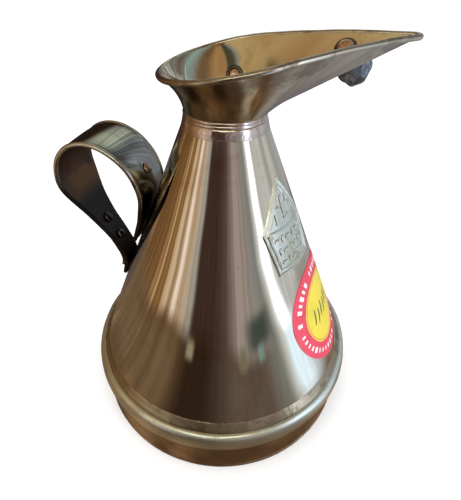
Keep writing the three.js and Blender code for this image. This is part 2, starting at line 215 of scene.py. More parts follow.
def ramp(tree, value, low, high, to_low=0.0, to_high=1.0):
    """A value brought smoothly from one range to another."""
    sockets = {"Value": value, "From Min": low, "From Max": high, "To Min": to_low, "To Max": to_high}
    return place(tree, "MapRange", sockets, interpolation_type="SMOOTHSTEP").outputs[0]


def blend(tree, share, a, b):
    """Colour a where share is 0 and colour b where it is 1."""
    made = place(tree, "Mix", data_type="RGBA")
    for socket, value in zip((made.inputs[0], made.inputs[6], made.inputs[7]), (share, a, b)):
        if isinstance(value, bpy.types.NodeSocket):
            tree.links.new(value, socket)
        else:
            socket.default_value = value
    return made.outputs[2]


def use(tree, shared, sockets):
    """A shared group placed in a material, with its own numbers."""
    made = tree.nodes.new("ShaderNodeGroup")
    made.node_tree = shared
    for key, value in sockets.items():
        if isinstance(value, bpy.types.NodeSocket):
            tree.links.new(value, made.inputs[key])
        else:
            made.inputs[key].default_value = value
    return made.outputs


# %% The group for wiping marks
wiping, given, gives = group(
    "Wiping marks",
    [("Vector", "Vector", None), ("Across", "Float", 900.0), ("Along", "Float", 20.0)],
    [("Fine", "Float"), ("Broad", "Float")],
)
flat = place(wiping, "SeparateXYZ", {0: given["Vector"]}).outputs
stretched = place(wiping, "CombineXYZ", {
    0: maths(wiping, "MULTIPLY", flat[0], given["Across"]),
    1: maths(wiping, "MULTIPLY", flat[1], given["Along"]),
}).outputs[0]
fine = place(wiping, "TexNoise", {"Vector": stretched, "Scale": 1.0, "Detail": 4.0, "Roughness": 0.65})
wide = place(wiping, "VectorMath", {0: stretched, 1: (0.09, 0.35, 1.0)}, operation="MULTIPLY").outputs[0]
broad = place(wiping, "TexNoise", {"Vector": wide, "Scale": 1.0, "Detail": 3.0, "Roughness": 0.6})
wiping.links.new(fine.outputs[0], gives["Fine"])
wiping.links.new(ramp(wiping, broad.outputs[0], 0.38, 0.66), gives["Broad"])

# %% The group for stained patches
staining, given, gives = group(
    "Stained patches",
    [("Vector", "Vector", None), ("Size", "Float", 40.0), ("Cover", "Float", 0.5)],
    [("Patches", "Float"), ("Cloud", "Float")],
)
cloud = place(staining, "TexNoise", {"Vector": given["Vector"], "Scale": given["Size"],
                                     "Detail": 5.0, "Roughness": 0.62, "Distortion": 0.35})
edge = maths(staining, "SUBTRACT", 0.72, maths(staining, "MULTIPLY", given["Cover"], 0.44))
patches = ramp(staining, cloud.outputs[0], maths(staining, "SUBTRACT", edge, 0.1),
               maths(staining, "ADD", edge, 0.1))
staining.links.new(patches, gives["Patches"])
staining.links.new(cloud.outputs[0], gives["Cloud"])

# %% The group for pits and specks
pitting, given, gives = group(
    "Pits and specks",
    [("Vector", "Vector", None), ("Size", "Float", 600.0), ("Share", "Float", 0.3)],
    [("Depth", "Float"), ("Specks", "Float")],
)
cells = place(pitting, "TexVoronoi", {"Vector": given["Vector"], "Scale": given["Size"]})
chosen = place(pitting, "SeparateColor", {0: cells.outputs["Color"]}).outputs[0]
kept = maths(pitting, "LESS_THAN", chosen, given["Share"])
round_spot = ramp(pitting, cells.outputs["Distance"], 0.12, 0.38, 1.0, 0.0)
spots = maths(pitting, "MULTIPLY", round_spot, kept)
pitting.links.new(spots, gives["Specks"])
pitting.links.new(maths(pitting, "SUBTRACT", 1.0, spots), gives["Depth"])
print("shared groups:", [g.name for g in bpy.data.node_groups])

# %% [markdown]
# ## Metal finishes
# One recipe serves all the metals, and its numbers tell them apart. The bright colour shows where the
# sheet is rubbed, the stained one in patches, in broad wiping bands and, on the handle, as painted shade
# near the ends. Marks and pits make the fine relief. Real height for marks a few thousandths of a
# millimetre deep would need millions of points, so a Bump node bends the light instead.

# %% The recipe for a worn metal
def worn_metal(name, bright, stained, cover, shine, dull, across, along, grain,
               size=45.0, pit=0.0, pit_size=700.0, pit_share=0.12, banding=0.5, patterned=True,
               painted_shade_to=None, painted_shade_from=None):
    """Base colour: bright to stained by patches, then by wiping bands, and wholly the stained colour, as
    painted shade, near the piece's ends: up to one given distance and from another along the piece.
    Roughness: shine to dull by the same share, plus the fine marks. Height: fine marks times grain less
    the pits, in metres."""
    finish = bpy.data.materials.new(name)
    finish.use_nodes = True
    tree = finish.node_tree
    shader = tree.nodes["Principled BSDF"]
    shader.inputs["Metallic"].default_value = 1.0
    where = place(tree, "TexCoord").outputs
    over = place(tree, "UVMap", uv_map="pattern").outputs[0] if patterned else where["Object"]
    marks = use(tree, wiping, {"Vector": over, "Across": across, "Along": along})
    stains = use(tree, staining, {"Vector": where["Object"], "Size": size, "Cover": cover})
    holes = use(tree, pitting, {"Vector": where["Object"], "Size": pit_size, "Share": pit_share})
    banded = maths(tree, "MULTIPLY", marks["Broad"], banding)
    share = maths(tree, "MAXIMUM", stains["Patches"], banded)
    # Painted shade: near a handle piece's ends, where it comes down to the cone, the colour is wholly the
    # stained one.
    if painted_shade_to:
        far_along = place(tree, "SeparateXYZ", {0: over}).outputs[1]
        share = maths(tree, "MAXIMUM", share, ramp(tree, far_along, painted_shade_to * 0.8, painted_shade_to, 1.0, 0.0))
        if painted_shade_from:
            # Painted shade at the far end of the piece.
            painted_shade_far_end = ramp(tree, far_along, painted_shade_from, painted_shade_from * 1.15, 0.0, 1.0)
            share = maths(tree, "MAXIMUM", share, painted_shade_far_end)
    specks = maths(tree, "MULTIPLY", holes["Specks"], min(1.0, pit * 2e5))
    speckled = maths(tree, "MAXIMUM", share, specks)
    tree.links.new(blend(tree, speckled, (*bright, 1), (*stained, 1)), shader.inputs["Base Color"])
    rough = ramp(tree, share, 0.0, 1.0, shine, dull)
    scuff = min(0.1, shine)
    scuffed = maths(tree, "MULTIPLY_ADD", marks["Fine"], scuff, rough)
    tree.links.new(maths(tree, "SUBTRACT", scuffed, scuff / 2), shader.inputs["Roughness"])
    cut = maths(tree, "MULTIPLY", marks["Fine"], grain)
    sunk = maths(tree, "MULTIPLY", holes["Depth"], pit)
    lumpy = maths(tree, "MULTIPLY", stains["Cloud"], grain * 4)
    height = maths(tree, "ADD", maths(tree, "ADD", cut, sunk), lumpy)
    relief = place(tree, "Bump", {"Strength": 1.0, "Distance": 1.0, "Height": height})
    tree.links.new(relief.outputs[0], shader.inputs["Normal"])
    return finish


# %% The metals of this object
cone_brass = worn_metal("polished_cone_brass", (0.82, 0.71, 0.51), (0.66, 0.52, 0.33), 0.30, 0.025, 0.06,
                        1500, 12, 1.2e-6, size=28, pit=2e-6, pit_size=420, pit_share=0.05)
funnel_brass = worn_metal("brushed_funnel_brass", (0.82, 0.70, 0.47), (0.62, 0.47, 0.28), 0.34, 0.04, 0.11,
                          1100, 30, 4e-6, size=60, pit=3e-6, pit_size=500, pit_share=0.08, banding=0.45)
beak_brass = worn_metal("tarnished_funnel_brass", (0.62, 0.50, 0.33), (0.30, 0.215, 0.135), 0.5, 0.1, 0.24,
                        1100, 30, 5e-6, size=48, pit=3e-6, pit_size=500, pit_share=0.08, banding=0.6)
hoop_brass = worn_metal("rubbed_hoop_brass", (0.92, 0.92, 0.74), (0.76, 0.71, 0.52), 0.30, 0.34, 0.48,
                        40, 1600, 6e-6, size=70, pit=5e-6, pit_size=420, pit_share=0.12)
skirt_brass = worn_metal("brown_skirt_brass", (0.66, 0.53, 0.33), (0.40, 0.28, 0.16), 0.50, 0.20, 0.38,
                         35, 1300, 8e-6, size=50, pit=4e-6, pit_size=380, pit_share=0.12, banding=0.7)
# Painted shade: the strap's first 40 to 50 mm on the lower leg, and its end from 106 mm past the upper
# rivet, are wholly the near-black stained colour.
strap_brass = worn_metal("dark_strap_brass", (0.36, 0.35, 0.29), (0.055, 0.05, 0.045), 0.2, 0.08, 0.2,
                         900, 25, 3e-6, size=42, pit=3e-6, pit_size=420, pit_share=0.08, banding=0.3,
                         painted_shade_to=0.05, painted_shade_from=0.106)
# The inner lining is darker than the strap; its first 40 to 50 mm, at the lower leg, are painted shade in
# the near-black stained colour.
lining_brass = worn_metal("dark_strap_lining", (0.15, 0.078, 0.034), (0.038, 0.033, 0.032), 0.36, 0.2, 0.36,
                          700, 25, 5e-6, size=55, pit=3e-6, pit_size=420, pit_share=0.1, painted_shade_to=0.05)
wire_brass = worn_metal("rubbed_wire_brass", (0.66, 0.57, 0.41), (0.34, 0.26, 0.165), 0.4, 0.18, 0.36,
                        900, 60, 6e-6, size=120, pit=4e-6, pit_size=600, pit_share=0.1)
# Painted shade: the beads' first 50 to 64 mm, on the lower leg, and their ends from 104 mm are wholly the
# near-black stained colour.
bead_brass = worn_metal("rubbed_bead_brass", (0.62, 0.57, 0.45), (0.045, 0.04, 0.035), 0.2, 0.16, 0.36,
                        900, 60, 6e-6, size=90, pit=3e-6, pit_size=600, pit_share=0.1, banding=0.3,
                        painted_shade_to=0.064, painted_shade_from=0.104)
neck_solder = worn_metal("pinkish_neck_solder", (0.80, 0.65, 0.52), (0.50, 0.37, 0.28), 0.42, 0.16, 0.34,
                         60, 900, 9e-6, size=110, pit=1.2e-5, pit_size=900, pit_share=0.2)
foot_braze = worn_metal("coppery_foot_braze", (0.50, 0.40, 0.25), (0.32, 0.235, 0.13), 0.42, 0.3, 0.46,
                        60, 1500, 1.0e-5, size=120, pit=2.0e-5, pit_size=800, pit_share=0.14)
lead_grey = worn_metal("hammered_lead", (0.46, 0.50, 0.56), (0.13, 0.11, 0.09), 0.45, 0.36, 0.6,
                       600, 400, 4e-5, size=190, pit=3e-5, pit_size=700, pit_share=0.25)
seal_copper = worn_metal("dull_copper", (0.86, 0.55, 0.34), (0.46, 0.28, 0.17), 0.4, 0.3, 0.5,
                         700, 500, 1.5e-5, size=260, pit=1.5e-5, pit_size=1100, pit_share=0.2)
rivet_brass = worn_metal("knocked_rivet_brass", (0.55, 0.42, 0.34), (0.16, 0.10, 0.08), 0.5, 0.16, 0.36,
                         700, 500, 1.2e-5, size=300, pit=1.5e-5, pit_size=1200, pit_share=0.2,
                         patterned=False)
# A darker copy of the rivet brass for the two lower rivets: painted shade on the handle's lower leg.
shaded_rivet_brass = worn_metal("rivet_brass_painted_shade", (0.17, 0.14, 0.12), (0.05, 0.045, 0.04), 0.5, 0.2, 0.4,
                         700, 500, 1.2e-5, size=300, pit=1.5e-5, pit_size=1200, pit_share=0.2,
                         patterned=False)
stay_brass = worn_metal("dark_stay_brass", (0.24, 0.19, 0.13), (0.10, 0.075, 0.055), 0.5, 0.3, 0.5,
                        500, 300, 8e-6, size=120, pit=5e-6, pit_size=600, pit_share=0.15, patterned=False)
print("metals:", len(bpy.data.materials))

# %% [markdown]
# ## Cone, bottom and base
# The cone is one sheet rolled up and brazed. Rolling leaves it a few hundredths of a millimetre out
# of true, and that is what bends the reflections in a mirror finish, so the ripple is in the shape.

# %% Cone
CONE_TOP_Z, CONE_TOP_R, CONE_FALL = 132.6, 14.9, 0.415


def cone_radius(z):
    """Outer radius of the cone at a height: top radius plus the fall times the depth."""
    return CONE_TOP_R + CONE_FALL * (CONE_TOP_Z - z)


def out_of_true(points):
    """How far rolled sheet stands off its true shape: long ripples, longer still up the cone."""
    return 0.045 * ripple(points * [1, 1, 0.45], 38, 3) + 0.012 * ripple(points * [1, 1, 0.3], 11, 5)


foot_z, head_z = 27.9, 133.0
cone_outline = refined([
    [cone_radius(foot_z) - 1.0, foot_z], [cone_radius(foot_z), foot_z],
    [cone_radius(head_z), head_z], [cone_radius(head_z) - 1.0, head_z],
], 1.6)
build("cone_sheet", [turned(cone_outline, 320, uneven=out_of_true)], cone_brass, ["cone_body"])

# %% [markdown]
# The bottom is a shallow pan set inside the hoop. The skirt below it is a band with its lower edge
# turned in flat, and a thin lip round the floor. The hoop is a stout half-round bar over the joint.

# %% Bottom pan, skirt and hoop
pan = [
    [0, 20.4], [56.0, 20.4], [56.5, 21.4], [58.6, 22.6], [58.6, 27.6],
    [57.4, 27.6], [57.4, 22.6], [56.2, 21.6], [0, 21.6],
]
build("bottom_sheet", [turned(refined(pan, 4, closed=False), 192, closed=False)],
      skirt_brass, ["bottom_pan"])

skirt = softened([
    [55.2, 0], [61.2, 0], [61.7, 0.45], [61.7, 1.3], [61.15, 1.9],
    [60.7, 21.3], [59.5, 21.3], [60, 1.2], [55.2, 1.2],
], 0.4, 4)
build("skirt_band", [turned(refined(skirt, 2), 320, uneven=lambda p: 0.05 * ripple(p, 22, 8))],
      skirt_brass, ["foot_ring"])

hoop = softened([
    [59, 19.8], [59, 27.5], [60.5, 27.4], [61.8, 26.0], [62.6, 23.8], [62.95, 21.0], [62.6, 19.8],
], 0.8, 6)
build("hoop_bar", [turned(refined(hoop, 1), 360, uneven=lambda p: 0.07 * ripple(p, 16, 9) - 0.05)],
      hoop_brass, ["base_hoop"])

# %% [markdown]
# Braze runs as a soft slope between cone and hoop, and solder as a rough fillet below the neck. Both
# were pushed about while soft, so they carry lumps of a few tenths of a millimetre.

# %% Braze at the foot and solder at the neck
def lumps(broad, broad_length, fine_length, seed):
    """Unevenness of melted metal: broad lumps, and finer ones 0.012 mm high, a little sunk."""
    return lambda p: broad * ripple(p, broad_length, seed) + 0.012 * ripple(p, fine_length, seed + 1) - 0.02


slope = refined(softened([
    [cone_radius(27.8) - 0.3, 27.2], [59.7, 27.2], [59.5, 28.0], [58.3, 29.6],
    [cone_radius(31.7) - 0.1, 31.7],
], 0.9, 6), 0.4)
build("braze_slope", [turned(slope, 420, uneven=lumps(0.04, 8, 2.2, 21))],
      foot_braze, ["base_solder"])

neck_fillet = refined(softened([
    [13.8, 134.9], [cone_radius(131.0) - 0.4, 131.0], [cone_radius(131.2) + 0.04, 131.2],
    [cone_radius(132.6) + 0.26, 132.6], [14.95, 133.8], [14.6, 134.9],
], 0.5, 5), 0.4)
build("neck_fillet", [turned(neck_fillet, 300, uneven=lumps(0.035, 5, 1.8, 31))],
      neck_solder, ["neck_solder"])

# %% Neck collar, with its fine ridges
COLLAR_LOW, COLLAR_TALL, COLLAR_BORE = 134.7, 2.2, 13.4
edge_z = np.linspace(COLLAR_LOW, COLLAR_LOW + COLLAR_TALL, 50)
edge_r = 14.38 + 0.2 * np.abs(np.sin((edge_z - COLLAR_LOW) / COLLAR_TALL * 2 * np.pi)) ** 0.8
collar_bore = [[COLLAR_BORE, COLLAR_LOW + COLLAR_TALL], [COLLAR_BORE, COLLAR_LOW]]
collar = np.concatenate([np.stack([edge_r, edge_z], -1), collar_bore])
build("ridged_collar", [turned(collar, 280, uneven=lambda p: 0.04 * ripple(p, 4.5, 41) - 0.03)],
      neck_solder, ["neck_collar"])

# %% [markdown]
# ## Funnel mouth and beak
# Seen from above the mouth is a teardrop: a round back, two straight sides and a small round tip. The
# sheet runs from the round neck to that teardrop, flaring like a trumpet at the back and straight
# under the beak. A loft between two curves would do, but a formula keeps the flare under control.

# %% The teardrop and the sheet below it
NECK_Z, NECK_R, FUNNEL_SHEET = 136.6, 14.2, 0.9
BACK_R, BACK_X, TIP_R, TIP_X = 25.0, 3.6, 2.2, 56.4
TANGENT = math.acos((BACK_R - TIP_R) / (TIP_X - BACK_X))


def teardrop(count):
    """Points evenly spaced round the mouth, from the near end of the upper straight side, round
    the back, along the other side and round the tip: arcs (c + r cos a, r sin a) and lines."""
    back = np.linspace(TANGENT, 2 * np.pi - TANGENT, 400)
    tip = np.linspace(-TANGENT, TANGENT, 60)
    arcs = [
        np.stack([BACK_X + BACK_R * np.cos(back), BACK_R * np.sin(back)], -1),
        np.stack([TIP_X + TIP_R * np.cos(tip), TIP_R * np.sin(tip)], -1),
    ]
    line = np.concatenate([*arcs, arcs[0][:1]])
    length = np.concatenate([[0], np.cumsum(np.linalg.norm(np.diff(line, axis=0), axis=1))])
    at = np.linspace(0, length[-1], count, endpoint=False)
    return np.stack([np.interp(at, length, line[:, 0]), np.interp(at, length, line[:, 1])], -1), at


def rim_z(x):
    """Height of the rim: rising towards the beak and levelling out near its tip."""
    return 152.4 + 0.209 * x - 0.00152 * np.maximum(x, 0) ** 2


def funnel_wall(mouth, height):
    """The outer face between the round neck (height 0) and a point of the mouth (height 1)."""
    angle, reach = np.arctan2(mouth[..., 1], mouth[..., 0]), np.linalg.norm(mouth, axis=-1)
    trumpet = 0.65 * smooth(np.abs(angle), 0.4, 2.4)
    spread = (1 - trumpet) * height + trumpet * height**2.6
    radius = NECK_R + (reach - NECK_R) * spread
    z = NECK_Z + (rim_z(mouth[..., 0]) - NECK_Z) * height
    return np.stack([radius * np.cos(angle), radius * np.sin(angle), z], -1)


mouth, mouth_at = teardrop(440)
levels = np.linspace(0, 0.975, 46)
outside = funnel_wall(mouth[None], levels[:, None])
neck_part = outside[:1] + np.array([0, 0, 1]) * np.linspace(-2.6, -0.4, 4)[:, None, None]
outside = np.concatenate([neck_part, outside])
outside += (0.07 * ripple(outside, 14, 51) * smooth(outside[..., 2], 138, 144))[..., None] * [1, 1, 0.4]
run = np.roll(outside, -1, 1) - np.roll(outside, 1, 1)
rise = np.gradient(outside, axis=0)
normal = np.cross(run, rise)
normal /= np.linalg.norm(normal, axis=-1, keepdims=True)
round_ = np.concatenate([mouth_at, [mouth_at[-1] + mouth_at[1]]])


def funnel_skin(deep_from, deep_to):
    """A closed sheet between two depths below the funnel's outer face, in mm."""
    both = np.concatenate([outside - normal * deep_from, (outside - normal * deep_to)[::-1]])
    up = np.concatenate([np.arange(len(outside)), np.arange(len(outside))[::-1], [0]]) * 0.5
    uv = np.stack(np.meshgrid(up, round_, indexing="ij")[::-1], -1) * MM
    return woven(both, wrap_rows=True, wrap_cols=True, uv=uv)


build("funnel_sheet", [funnel_skin(0, 0.42)], beak_brass, ["funnel_spout"])
build("funnel_lining", [funnel_skin(0.5, FUNNEL_SHEET)], funnel_brass)

# %% [markdown]
# The rim is rolled over a wire, which stiffens the sheet. A wire is a circle carried along a line,
# and the circle's two directions come from the line's own run and from straight up.

# %% Wires, and the wired rim
def wire(path, radius, steps=14, closed=False, lean=(0, 0, 1), flat=1.0):
    """A circle carried along a path: point + r cos a side + flat r sin a up, where side is the
    run crossed with lean, and up is side crossed with the run. Open ends close to a dome."""
    path, lean = np.asarray(path, float), np.asarray(lean, float)
    run = np.roll(path, -1, 0) - np.roll(path, 1, 0) if closed else np.gradient(path, axis=0)
    run /= np.linalg.norm(run, axis=1)[:, None]
    side = np.cross(run, lean)
    side /= np.linalg.norm(side, axis=1)[:, None]
    up = np.cross(side, run)
    r = np.broadcast_to(np.asarray(radius, float), len(path)).copy()
    if not closed:
        turn = np.linspace(0, np.pi / 2, 5)[:-1]
        cap = lambda k, way: (path[k] + way * run[k] * r[k] * np.cos(turn)[:, None], r[k] * np.sin(turn))
        (p0, r0), (p1, r1) = cap(0, -1), cap(-1, 1)
        path = np.concatenate([p0, path, p1[::-1]])
        side = np.concatenate([np.repeat(side[:1], 4, 0), side, np.repeat(side[-1:], 4, 0)])
        up = np.concatenate([np.repeat(up[:1], 4, 0), up, np.repeat(up[-1:], 4, 0)])
        r = np.concatenate([r0, r, r1[::-1]])
    a = np.linspace(0, 2 * np.pi, steps, endpoint=False)[None, :, None]
    points = path[:, None] + r[:, None, None] * (np.cos(a) * side[:, None] + flat * np.sin(a) * up[:, None])
    steps_along = np.linalg.norm(np.diff(path, axis=0, append=path[:1]), axis=1)
    along = np.concatenate([[0], np.cumsum(steps_along)])[: len(path) + closed]
    round_wire = np.linspace(0, 6.3 * r.max(), steps + 1)
    uv = np.stack(np.meshgrid(along, round_wire, indexing="ij")[::-1], -1) * MM
    return woven(points, wrap_rows=closed, wrap_cols=True, uv=uv)


rim_line = np.column_stack([mouth, rim_z(mouth[:, 0])])
rim_line += 0.06 * ripple(rim_line, 15, 61)[:, None] * [0, 0, 1]
build("rim_roll", [wire(rim_line, 0.88, 16, closed=True)], wire_brass, ["rim_wire"])

# %% [markdown]
# ## Seal and stud
# The inspector's seal is a lead plug cast through the wall: a flat disc inside an eyelet, and a
# hammered lump outside. The stud marks the filling height. Each sits on the wall at a spot and looks
# out along the wall's own direction, so it is made upright and then turned onto that spot.

# %% Spots on the funnel's wall
def mouth_spot(which, fraction):
    """A point of the teardrop: along its last straight side, from tip to back, or round the back."""
    if which == "side":
        tip = np.array([TIP_X + TIP_R * math.cos(TANGENT), TIP_R * math.sin(TANGENT)])
        back = np.array([BACK_X + BACK_R * math.cos(TANGENT), BACK_R * math.sin(TANGENT)])
        return tip + (back - tip) * fraction
    a = TANGENT + (2 * np.pi - 2 * TANGENT) * fraction
    return np.array([BACK_X + BACK_R * math.cos(a), BACK_R * math.sin(a)])


def wall_frame(which, fraction, height, step=0.01):
    """Where a spot on the wall is, and the three directions there: across, up and out."""
    here = funnel_wall(mouth_spot(which, fraction), height)
    across = funnel_wall(mouth_spot(which, fraction + step), height) - here
    upward = funnel_wall(mouth_spot(which, fraction), height + step) - here
    out = np.cross(across, upward)
    out /= np.linalg.norm(out)
    side = across / np.linalg.norm(across)
    return here, np.stack([side, np.cross(out, side), out])


def onto(sheet, where):
    """A grid made upright at the origin, turned and moved onto a spot."""
    here, directions = where
    return {**sheet, "points": sheet["points"] @ directions + here}


def upright(outline, steps=64, closed=False, uneven=None):
    """A small turned piece about its own upright line."""
    return turned(refined(outline, 0.35, closed), steps, closed, uneven)


# %% Lead seal, eyelet, stud and washer
seal_at, stud_at = wall_frame("side", 0.25, 0.76), wall_frame("back", 0.1, 0.38)

a = np.linspace(0, np.pi, 60)[None, :]
b = np.linspace(0, 2 * np.pi, 96, endpoint=False)[:, None]
ball = np.stack([np.sin(a) * np.cos(b), np.sin(a) * np.sin(b), np.cos(a) + 0 * b], -1)
knocks = 1 - 0.05 * np.abs(ripple(ball, 1.9, 71)) + 0.04 * ripple(ball, 0.8, 72) - 0.03
lump = woven(ball * knocks[..., None] * [6.1, 6.7, 6.7] + [-2.5, 0, 7.1], wrap_rows=True)
disc = upright([[0, -2.9], [2.0, -2.9], [2.65, -2.5], [2.65, -0.6], [0, -0.6]],
               uneven=lambda p: 0.06 * ripple(p, 1.8, 73))
build("seal_lump", [onto(lump, seal_at)], lead_grey, ["lead_seal"])
build("seal_disc", [onto(disc, seal_at)], seal_copper)
ring = softened([[2.8, -2.35], [3.7, -2.1], [3.7, -0.7], [2.8, -0.7]], 0.4, 5)
build("seal_ring", [onto(turned(ring, 72), seal_at)], stay_brass, ["seal_eyelet"])

turn = np.linspace(0, np.pi / 2, 10)
dome = np.stack([2.1 * np.sin(turn), -1.2 - 1.2 * np.cos(turn)], -1)
tail = np.stack([2.0 * np.sin(turn[::-1]), 0.3 + 0.9 * np.cos(turn[::-1])], -1)
stud = np.concatenate([dome, [[2.1, -0.6], [1.4, -0.4], [1.4, 0.2], [2.0, 0.3]], tail])
build("stud", [onto(turned(stud, 48, closed=False), stud_at)], seal_copper, ["gauge_stud"])
washer = softened([[2.1, -2.1], [3.15, -1.7], [3.15, -0.7], [2.1, -0.7]], 0.4, 5)
build("stud_ring", [onto(turned(washer, 64), stud_at)], stay_brass, ["stud_washer"])

# %% [markdown]
# ## Strap handle
# A strap is bent along one line: up and out from the cone, round a curl and back in. The line goes
# smoothly through a few marks, and the strap's width grows from the lower end to the curl. A curve
# object with a bevel would give the same, but a grid lets both long edges carry a rolled bead.

# %% The line that the strap follows
strap_marks = np.array([
    [48.3, 55], [46.6, 62.5], [49.7, 72.2], [55.9, 83.2], [61.7, 94.5], [65, 105.5], [63, 115.2],
    [56.1, 121.3], [47.6, 122.2], [39.6, 118.6], [33.6, 111.5], [31.2, 102], [33.4, 92], [37.1, 82.8],
    [39.3, 77.6],
])
HANDLE_TURN = SEAM - math.pi


def curve_through(marks, per_span=60):
    """A smooth line through marks. Each span is a cubic whose end slopes come from the marks on
    both sides, weighted by the square root of their distances (a centripetal curve)."""
    full = np.concatenate([[2 * marks[0] - marks[1]], marks, [2 * marks[-1] - marks[-2]]])
    p0, p1, p2, p3 = full[:-3], full[1:-2], full[2:-1], full[3:]
    gap = lambda a, b: np.sqrt(np.linalg.norm(b - a, axis=1))[:, None]
    d0, d1, d2 = gap(p0, p1), gap(p1, p2), gap(p2, p3)
    m1 = ((p1 - p0) / d0 - (p2 - p0) / (d0 + d1) + (p2 - p1) / d1) * d1
    m2 = ((p2 - p1) / d1 - (p3 - p1) / (d1 + d2) + (p3 - p2) / d2) * d1
    t = np.linspace(0, 1, per_span, endpoint=False)[None, :, None]
    p1, p2, m1, m2 = (x[:, None] for x in (p1, p2, m1, m2))
    spans = p1 + m1 * t + (3 * (p2 - p1) - 2 * m1 - m2) * t**2 + (2 * (p1 - p2) + m1 + m2) * t**3
    return np.concatenate([spans.reshape(-1, marks.shape[1]), marks[-1:]])


bend = curve_through(strap_marks)
bend_length = np.concatenate([[0], np.cumsum(np.linalg.norm(np.diff(bend, axis=0), axis=1))])


def on_bend(s):
    """The point of the strap's line after a length s from its lower end."""
    out, up = (np.interp(s, bend_length, bend[:, k]) for k in (0, 1))
    return np.stack([-out, 0 * s, up], -1)


def strap_frame(t):
    """Point, run and outer side of the strap at fractions of its length, in the plane y = 0."""
    at = np.asarray(t) * bend_length[-1]
    run = on_bend(np.minimum(at + 0.6, bend_length[-1])) - on_bend(np.maximum(at - 0.6, 0))
    run /= np.linalg.norm(run, axis=-1, keepdims=True)
    return on_bend(at), run, -np.cross([0, 1, 0], run)


def strap_width(t):
    """Width over the beads: narrow below, widest over the curl, trimmed at the upper end."""
    thumb = 4.5 * np.exp(-(((t - 0.38) / 0.08) ** 2))
    return 12.5 + 12 * smooth(t, 0.12, 0.5) + thumb - 9.5 * smooth(t, 0.82, 1)


def on_handle(sheet):
    """A grid made in the plane y = 0, turned about the axis to the handle's side."""
    c, s = math.cos(HANDLE_TURN), math.sin(HANDLE_TURN)
    return {**sheet, "points": sheet["points"] @ np.array([[c, s, 0], [-s, c, 0], [0, 0, 1]])}


print("strap length %.0f mm" % bend_length[-1])

# %% Strap and rolled edges
BEAD_FROM_EDGE = 1.1
t = np.linspace(0, 1, 260)
point, run, outer = strap_frame(t)
half = strap_width(t) / 2 - BEAD_FROM_EDGE


def strap_skin(section):
    """A cross-section (share of the half width, level) carried along the strap, with a slight crown
    across it and a long ripple. Both ends are closed."""
    across = section[:, 0][None, :, None] * half[:, None, None]
    level = (section[:, 1] + 0.35 * (1 - section[:, 0] ** 2) - 0.15)[None, :, None]
    skin = point[:, None] + across * [0, 1, 0] + level * outer[:, None]
    skin += 0.05 * ripple(point, 17, 81)[:, None, None] * outer[:, None]
    ends = [skin.mean(1, keepdims=True)[k] + 0 * skin[k] for k in (0, -1)]
    skin = np.concatenate([ends[0][None], skin, ends[1][None]])
    along = np.concatenate([[0], t, [1]]) * bend_length[-1]
    wide = np.concatenate([section[:, 0], section[:1, 0]]) * 12
    uv = np.stack(np.meshgrid(along, wide, indexing="ij")[::-1], -1) * MM
    return on_handle(woven(skin, wrap_cols=True, uv=uv))


sheet_section = refined(softened([[-1, -0.8], [1, -0.8], [1, 0.8], [-1, 0.8]], 0.25, 3), 0.14)
lining_section = refined([[-0.985, -0.88], [0.985, -0.88], [0.985, -0.72], [-0.985, -0.72]], 0.14)
build("strap_sheet", [strap_skin(sheet_section)], strap_brass, ["handle_strap"])
build("strap_lining", [strap_skin(lining_section)], lining_brass)

for name, side, node in (
    ("strap_edge_near", 1, "handle_bead_near"),
    ("strap_edge_far", -1, "handle_bead_far"),
):
    line = point + np.outer(side * half, [0, 1, 0])
    line += 0.05 * ripple(line, 11, 83 + side)[:, None] * outer
    build(name, [on_handle(wire(line, 0.98, 14, lean=(0, 1, 0)))], bead_brass, [node])

# %% [markdown]
# Rivets hold the strap to a short stay at each end. Their heads were closed with a hammer, so the
# domes are lumpy and not quite round. The stays are plain strips, and the frame's own shapes serve.

# %% Rivets and stays
def rivet(name, t, stay_side, node, seed, finish):
    """A shank with two domed heads, along the strap's outer direction at a fraction t."""
    here, _, out = (x[0] for x in strap_frame(np.array([t])))
    out = out * stay_side
    near, far = -1.1, 2.9
    head_r, head_tall, shank_r = 2.3, 1.3, 1.5
    c = np.linspace(0, np.pi / 2, 12)
    low = np.stack([head_r * np.sin(c), near - head_tall * np.cos(c)], -1)
    high = np.stack([head_r * np.sin(c[::-1]), far + head_tall * np.cos(c[::-1])], -1)
    shape = np.concatenate([low, [[shank_r, near + 0.05], [shank_r, far - 0.05]], high])
    off_line = lambda p: np.hypot(p[..., 0], p[..., 1])
    hammered = lambda p: 0.12 * ripple(p, 2.4, seed) * smooth(off_line(p), 0, 1) - 0.06
    sheet = turned(shape, 48, closed=False, uneven=hammered)
    frame_here = np.stack([np.cross([0, 1, 0], out), [0, 1, 0], out])
    build(name, [on_handle(onto(sheet, (here, frame_here)))], finish, [node])


# The two lower rivets take the darker copy of the rivet brass: painted shade, as the lower leg lies in
# shade.
rivet("rivet_low_1", 0.145, 1, "lower_rivet_1", 91, shaded_rivet_brass)
rivet("rivet_low_2", 0.215, 1, "lower_rivet_2", 92, shaded_rivet_brass)
rivet("rivet_top", 0.752, -1, "upper_rivet", 93, rivet_brass)
for node in ("lower_stay", "upper_stay"):
    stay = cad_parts[node]
    for slot_here in stay.material_slots:
        slot_here.material = stay_brass

# %% [markdown]
# ## Stamped capacity mark
# The mark is struck from inside: a house-shaped double outline, a line between its two fields, and
# raised strokes in them. A displacement map could raise it, but a height formula over the patch is
# exact. Lettering is left out, and plain bars take its place.

# %% A patch that lies on the cone
def on_cone(angle, middle_z, across, upward, level):
    """Points on the cone: across to the right and upward along the slope, in mm, from a middle
    point, and level above the sheet."""
    z = middle_z + upward / math.hypot(1, CONE_FALL)
    r = cone_radius(z)
    turn = angle + across / r
    return np.stack([(r + level) * np.cos(turn), (r + level) * np.sin(turn), z], -1)


